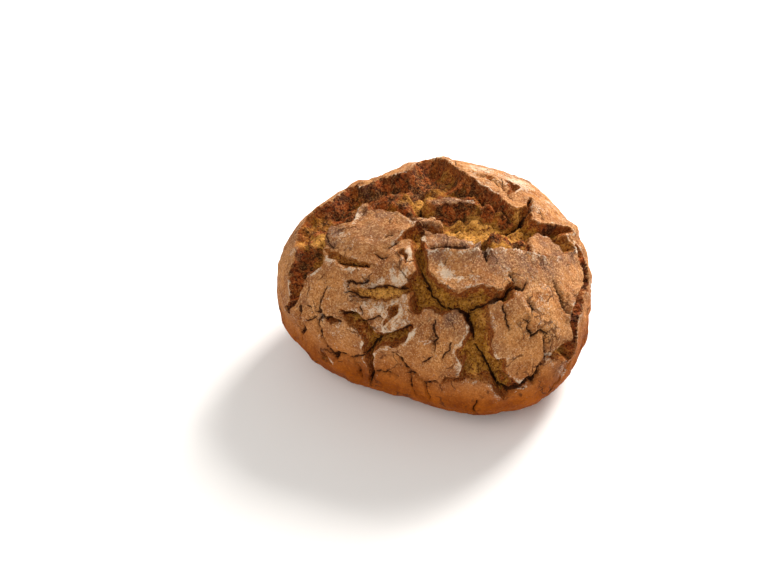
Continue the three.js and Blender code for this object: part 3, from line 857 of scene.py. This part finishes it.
def crazing():
    """Short hairlines all over a crust: the borders of wide cells in wandering places, kept in patches."""
    build, start, finish = group("Crazing", {"Place": VECTOR}, ("Mask",))
    drift = build.noise(start["Place"], size=5.0, detail=4, out="Color")
    wander = (7.0, 7.0, 7.0)
    inputs = {0: drift, 1: wander, 2: start["Place"]}
    place = build.add("ShaderNodeVectorMath", inputs=inputs, operation="MULTIPLY_ADD")
    borders = build.ramp(build.cells(place, size=10.0, feature="DISTANCE_TO_EDGE"), low=0.045, high=0.01)
    kept = build.ramp(build.noise(start["Place"], size=11.0, detail=3, roughness=0.6), low=0.5, high=0.58)
    return finish(Mask=build.times(borders, kept))


def crust_colour(build, place, meal, craze):
    """Unbroken crust: tan on top, deeper and more orange down the side, mottled, with haze, the meal's
    specks, flour and hairlines over it. The specks are calmer low down."""
    height_mm = build.add("ShaderNodeSeparateXYZ", out="Z", inputs={0: place})
    low = build.ramp(height_mm, low=46.0, high=18.0)
    mottle = build.ramp(build.noise(place, size=9.0, detail=4, roughness=0.6), low=0.35, high=0.7)
    crust = build.blend(low, build.blend(mottle, TAN, NUT_BROWN), build.blend(mottle, AMBER, CHESTNUT))

    streaks = build.ramp(build.noise(place, size=4.0, detail=4, roughness=0.7), low=0.26, high=0.54)
    crust = build.over(crust, SMOKY, build.times(build.value("haze"), streaks), share=0.92)
    calmer = build.scaled(low, by=-0.5, base=1.0)
    crust = build.over(crust, BRAN, build.times(meal["Dark"], calmer), share=0.5)
    speck = build.blend(low, PALE_MEAL, ORANGE_MEAL)
    crust = build.over(crust, speck, build.times(meal["Light"], calmer), share=0.45)
    flour = build.grouped(flour_dust(), Place=place, Amount=build.value("flour"))["Mask"]
    crust = build.over(crust, FLOURY, flour, share=0.7)
    return build.over(crust, HAIRLINE_BROWN, craze, share=0.75)


def crumb_colour(build, meal, stain, crumbs, chunks):
    """Torn crumb: olive to golden, with a brown rind by the crust, rust-brown to charred where the oven
    reached it, painted shade in its hollows, a painted shadow just under the crust's edge, a painted
    highlight on its raised bits, and the meal's dark and light specks."""
    golden, torn = build.value("golden"), build.value("torn_mm")
    crumb = build.blend(build.ramp(stain, low=0.36, high=0.64), OLIVE, STRAW)
    crumb = build.blend(build.times(golden, build.ramp(stain, low=0.3, high=0.55)), crumb, BUTTER)

    wobble = build.scaled(stain, by=6.0, base=-3.0)
    far_in = build.plus(build.plus(torn, wobble), build.scaled(crumbs, by=4.0, base=-2.0))
    paler = build.scaled(golden, by=-0.7, base=1.0)
    rind = build.times(build.ramp(far_in, low=2.3, high=0.9), paler)
    crumb = build.over(crumb, RIND_BROWN, rind, share=0.85)

    toast = build.ramp(build.plus(build.value("toasted"), stain), low=0.82, high=1.15)
    toast_grain = build.plus(build.times(crumbs, 0.35), build.times(chunks, 0.65))
    toasty = build.blend(build.ramp(toast_grain, low=0.44, high=0.57), DARK_TOAST, RUST)
    toasty = build.over(toasty, CHAR, build.ramp(stain, low=0.52, high=0.4), share=0.7)
    crumb = build.over(crumb, toasty, toast, share=0.92)

    # Painted shade: the crumb's low points darkened.
    crumb = build.blend(build.ramp(crumbs, low=0.5, high=0.34), crumb, HOLLOW_SHADE_BROWN, mode="MULTIPLY")
    # Painted highlight on the crumb's high points, weaker where it is toasted.
    glint_share = build.scaled(toast, by=-0.36, base=0.62)
    crumb = build.over(crumb, GLINT, build.ramp(crumbs, low=0.54, high=0.68), share=glint_share)
    crumb = build.over(crumb, CRUMB_BRAN, meal["Dark"], share=0.45)
    crumb = build.over(crumb, CRUMB_MEAL, meal["Light"], share=0.22)

    # Painted shadow in the crumb just under the crust's edge.
    shadow_under_edge = build.ramp(build.plus(torn, build.times(wobble, 0.35)), low=1.15, high=0.35)
    undercut_shadow = build.times(shadow_under_edge, build.ramp(crumbs, low=0.44, high=0.72))
    return build.blend(undercut_shadow, crumb, UNDERCUT_SHADOW_BROWN)


def baked_crust():
    """Crust, haze, flour, torn crumb and cracks, each where the loaf's own values put it, with painted shade
    in the cracks and deep in the tears.
    """
    material = bpy.data.materials.new("baked_crust")
    material.use_nodes = True
    build = Tree(material.node_tree)
    build.tree.nodes.clear()
    object_place = build.add("ShaderNodeTexCoord", out="Object")
    place = build.add("ShaderNodeVectorMath", inputs={0: object_place, "Scale": 1 / MM}, operation="SCALE")

    edge = build.grouped(torn_edge(), Place=place, Inside=build.value("torn_mm"))["Mask"]
    crack = build.grouped(hairline(), Place=place, Away=build.value("crack_mm"),
                          Half_width=build.value("crack_half_mm"))["Mask"]
    craze = build.grouped(crazing(), Place=place)["Mask"]
    meal = build.grouped(meal_grain(), Place=place)
    pores = build.cells(place, size=1.7, feature="SMOOTH_F1")
    stain = build.noise(place, size=3.4, detail=6, roughness=0.7)
    crumbs = build.noise(place, size=1.5, detail=4, roughness=0.7)
    chunks = build.noise(place, size=5.5, detail=5, roughness=0.62)

    crust = crust_colour(build, place, meal, craze)
    colour = build.blend(edge, crust, crumb_colour(build, meal, stain, crumbs, chunks))
    # Dark cracks, some of them painted shadow lines under a flap or behind a lip.
    colour = build.over(colour, CRACK_AND_SHADOW_BROWN, crack, share=0.9)
    # Painted shade in crack grooves through the crumb and deep in the tears.
    deep = build.ramp(build.value("sunk_mm"), low=1.6, high=4.2)
    colour = build.over(colour, DEEP_SHADE_BROWN, deep, share=0.75)

    # Height in millimetres: grain, wrinkles and hairlines on the crust; clumps, grain and pores in the crumb,
    # which lies lower by the crust's own thickness; and cracks cut into both.
    wrinkles = build.times(build.noise(place, size=4.0, detail=5, roughness=0.6), 2.4)
    on_crust = build.scaled(meal["Height"], by=0.6, base=wrinkles)
    on_crust = build.scaled(craze, by=-0.7, base=on_crust)
    in_crumb = build.minus(build.times(stain, 1.6), pores)
    in_crumb = build.scaled(crumbs, by=2.6, base=in_crumb)
    in_crumb = build.scaled(meal["Height"], by=0.5, base=in_crumb)
    in_crumb = build.scaled(chunks, by=2.0, base=in_crumb)
    crust_thickness = 1.4
    below_crust = build.minus(in_crumb, crust_thickness)
    bumps = build.add("ShaderNodeMix", inputs={0: edge, 2: on_crust, 3: below_crust}, data_type="FLOAT")
    bumps = build.scaled(crack, by=-0.9, base=bumps)
    normal = build.add("ShaderNodeBump", inputs={"Strength": 0.9, "Distance": MM, "Height": bumps})

    uneven = build.ramp(build.noise(place, size=6.0), low=0.0, high=1.0)
    roughness = build.scaled(uneven, by=0.25, base=0.66)
    shader = build.add("ShaderNodeBsdfPrincipled", inputs={
        "Base Color": colour, "Roughness": roughness, "Normal": normal, "Specular IOR Level": 0.08})
    end = build.tree.nodes.new("ShaderNodeOutputMaterial")
    build.feed(end.inputs["Surface"], shader)
    return material


# ---------------------------------------------------------------- floor, light and camera
def plain_floor():
    """A wide pale floor, level with the foot of the loaf."""
    half = 3.0
    corners = [(-half, -half, 0), (half, -half, 0), (half, half, 0), (-half, half, 0)]
    mesh = bpy.data.meshes.new("floor")
    mesh.from_pydata(corners, [], [(0, 1, 2, 3)])
    material = bpy.data.materials.new("pale_floor")
    material.use_nodes = True
    shader = material.node_tree.nodes["Principled BSDF"]
    shader.inputs["Base Color"].default_value = (0.93, 0.92, 0.91, 1)
    shader.inputs["Roughness"].default_value = 0.9
    mesh.materials.append(material)
    floor = bpy.data.objects.new("floor", mesh)
    bpy.context.collection.objects.link(floor)
    return floor


def panel_light(name, place, size, power):
    """A soft, slightly warm square lamp at a place in metres, facing the middle of the loaf."""
    lamp = bpy.data.lights.new(name, "AREA")
    lamp.shape, lamp.size, lamp.energy, lamp.color = "SQUARE", size, power, (1.0, 0.97, 0.93)
    piece = bpy.data.objects.new(name, lamp)
    middle = Vector((0, 0, 0.03))
    facing = (middle - Vector(place)).to_track_quat("-Z", "Y")
    piece.matrix_world = Matrix.Translation(place) @ facing.to_matrix().to_4x4()
    bpy.context.collection.objects.link(piece)


def studio():
    """A key lamp behind and to the right, a broad fill lamp in front, and soft light from all round."""
    panel_light("key", place=(0.64, 0.93, 0.82), size=0.6, power=42.0)
    panel_light("fill", place=(-0.5, -0.9, 0.9), size=1.2, power=9.0)
    world = bpy.data.worlds.new("studio")
    world.use_nodes = True
    world.node_tree.nodes["Background"].inputs["Color"].default_value = (1.0, 0.98, 0.95, 1)
    world.node_tree.nodes["Background"].inputs["Strength"].default_value = 0.46
    bpy.context.scene.world = world
    bpy.context.scene.view_settings.view_transform = "Standard"


def camera():
    """A 50 mm lens on a 36 mm wide frame, 38 degrees above the floor, a little turned and tipped."""
    place = Vector((12.6, -388.1, 337.1)) * MM
    aim = Vector((-21.6, -4.6, 31.9)) * MM
    roll = math.radians(-3.15)
    lens = bpy.data.cameras.new("camera")
    lens.lens, lens.sensor_width = 50.0, 36.0
    lens.clip_start = 0.01
    piece = bpy.data.objects.new("camera", lens)
    facing = (aim - place).to_track_quat("-Z", "Y").to_matrix().to_4x4()
    piece.matrix_world = Matrix.Translation(place) @ facing @ Matrix.Rotation(roll, 4, "Z")
    bpy.context.collection.objects.link(piece)
    bpy.context.scene.camera = piece


bread = loaf(baked_crust())
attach(bread, "root")
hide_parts("loaf")
plain_floor()
studio()
camera()
